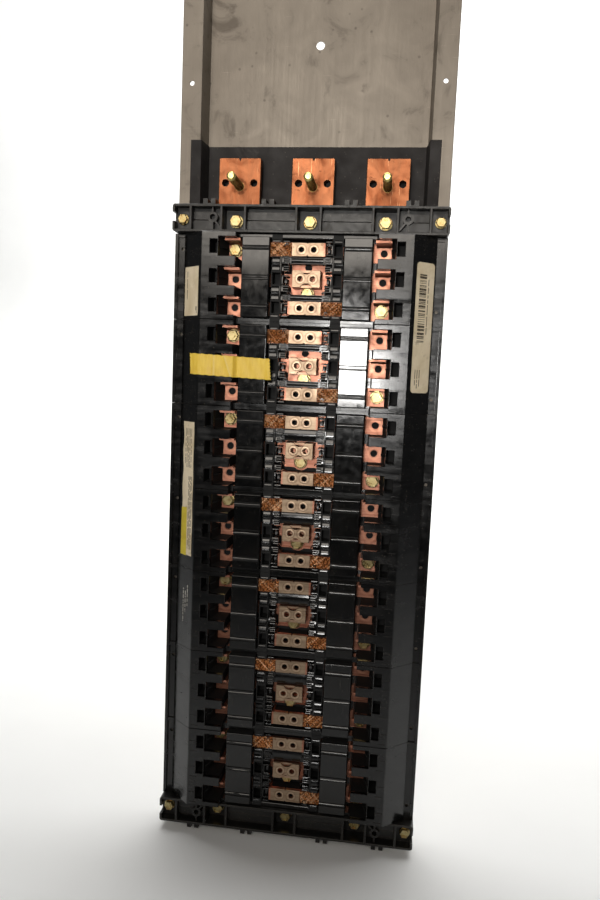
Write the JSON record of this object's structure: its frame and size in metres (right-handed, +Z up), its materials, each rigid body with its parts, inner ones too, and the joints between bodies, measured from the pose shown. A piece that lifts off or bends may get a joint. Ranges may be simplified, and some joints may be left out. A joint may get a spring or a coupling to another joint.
{
  "type": "panelboard interior",
  "caption": "Panelboard interior chassis: steel pan with copper buses and moulded branch modules for bolt-on breakers, with line studs at the top.",
  "frame": {"origin": "centre of the pan's flat back face, which goes against the enclosure", "axes": "+Z up along the buses, X across, the front facing -Y and the back facing +Y"},
  "size_m": [0.2432, 0.052, 0.8115],
  "materials": {
    "pan_steel": "dull galvanised sheet with smudges and scratches",
    "tray_sheet": "matte charcoal insulating sheet",
    "bus_copper": "drawn copper bar, lengthwise grain, tarnished",
    "strap_copper": "stamped copper strap, satin, with handling marks",
    "stud_bronze": "dark bronze thread with a bright worn tip",
    "gloss_cover": "glossy black moulding",
    "black_moulding": "semi-gloss black moulding with flow lines",
    "bracket_moulding": "satin black moulding",
    "support_moulding": "matte dark moulding",
    "yellow_zinc": "yellow zinc plated steel"
  },
  "bodies": {
    "chassis": {"back_pan": "pan_steel", "bottom_bus_support": "support_moulding", "bottom_end_bracket": "bracket_moulding", "branch_strap_1a": "strap_copper", "branch_strap_1b": "strap_copper", "branch_strap_1c": "strap_copper", "branch_strap_2a": "strap_copper", "branch_strap_2b": "strap_copper", "branch_strap_2c": "strap_copper", "branch_strap_3a": "strap_copper", "branch_strap_3b": "strap_copper", "branch_strap_3c": "strap_copper", "branch_strap_4a": "strap_copper", "branch_strap_4b": "strap_copper", "branch_strap_4c": "strap_copper", "branch_strap_5a": "strap_copper", "branch_strap_5b": "strap_copper", "branch_strap_5c": "strap_copper", "branch_strap_6a": "strap_copper", "branch_strap_6b": "strap_copper", "branch_strap_6c": "strap_copper", "branch_strap_7a": "strap_copper", "branch_strap_7b": "strap_copper", "branch_strap_7c": "strap_copper", "bus_bar_a": "bus_copper", "bus_bar_b": "bus_copper", "bus_bar_c": "bus_copper", "bus_bolts": "yellow_zinc", "insulating_tray": "tray_sheet", "left_cover_1": "gloss_cover", "left_cover_2": "gloss_cover", "left_cover_3": "gloss_cover", "left_cover_4": "gloss_cover", "left_cover_5": "gloss_cover", "left_cover_6": "gloss_cover", "left_cover_7": "gloss_cover", "module_base_1": "black_moulding", "module_base_2": "black_moulding", "module_base_3": "black_moulding", "module_base_4": "black_moulding", "module_base_5": "black_moulding", "module_base_6": "black_moulding", "module_base_7": "black_moulding", "right_cover_1": "gloss_cover", "right_cover_2": "gloss_cover", "right_cover_3": "gloss_cover", "right_cover_4": "gloss_cover", "right_cover_5": "gloss_cover", "right_cover_6": "gloss_cover", "right_cover_7": "gloss_cover", "strap_bolts": "yellow_zinc", "top_bus_support": "support_moulding", "top_end_bracket": "bracket_moulding"},
    "bottom_left_corner_screw": {"bottom_left_corner_screw": "yellow_zinc"},
    "bottom_right_corner_screw": {"bottom_right_corner_screw": "yellow_zinc"},
    "line_stud_a": {"line_stud_a": "stud_bronze"},
    "line_stud_b": {"line_stud_b": "stud_bronze"},
    "line_stud_c": {"line_stud_c": "stud_bronze"},
    "top_left_corner_screw": {"top_left_corner_screw": "yellow_zinc"},
    "top_right_corner_screw": {"top_right_corner_screw": "yellow_zinc"}
  },
  "joints": [
    {"name": "bottom_left_corner_screw_turn", "type": "hinge", "parent": "chassis", "child": "bottom_left_corner_screw", "pos_m": [-0.114, -0.02, -0.3905], "axis": [0, -1, 0], "continuous": true},
    {"name": "bottom_right_corner_screw_turn", "type": "hinge", "parent": "chassis", "child": "bottom_right_corner_screw", "pos_m": [0.114, -0.02, -0.3905], "axis": [0, -1, 0], "continuous": true},
    {"name": "line_stud_a_turn", "type": "hinge", "parent": "chassis", "child": "line_stud_a", "pos_m": [-0.0667, -0.02, 0.2005], "axis": [0, -1, 0], "continuous": true},
    {"name": "line_stud_b_turn", "type": "hinge", "parent": "chassis", "child": "line_stud_b", "pos_m": [0, -0.02, 0.2005], "axis": [0, -1, 0], "continuous": true},
    {"name": "line_stud_c_turn", "type": "hinge", "parent": "chassis", "child": "line_stud_c", "pos_m": [0.0667, -0.02, 0.2005], "axis": [0, -1, 0], "continuous": true},
    {"name": "top_left_corner_screw_turn", "type": "hinge", "parent": "chassis", "child": "top_left_corner_screw", "pos_m": [-0.114, -0.02, 0.1679], "axis": [0, -1, 0], "continuous": true},
    {"name": "top_right_corner_screw_turn", "type": "hinge", "parent": "chassis", "child": "top_right_corner_screw", "pos_m": [0.114, -0.02, 0.1679], "axis": [0, -1, 0], "continuous": true}
  ]
}
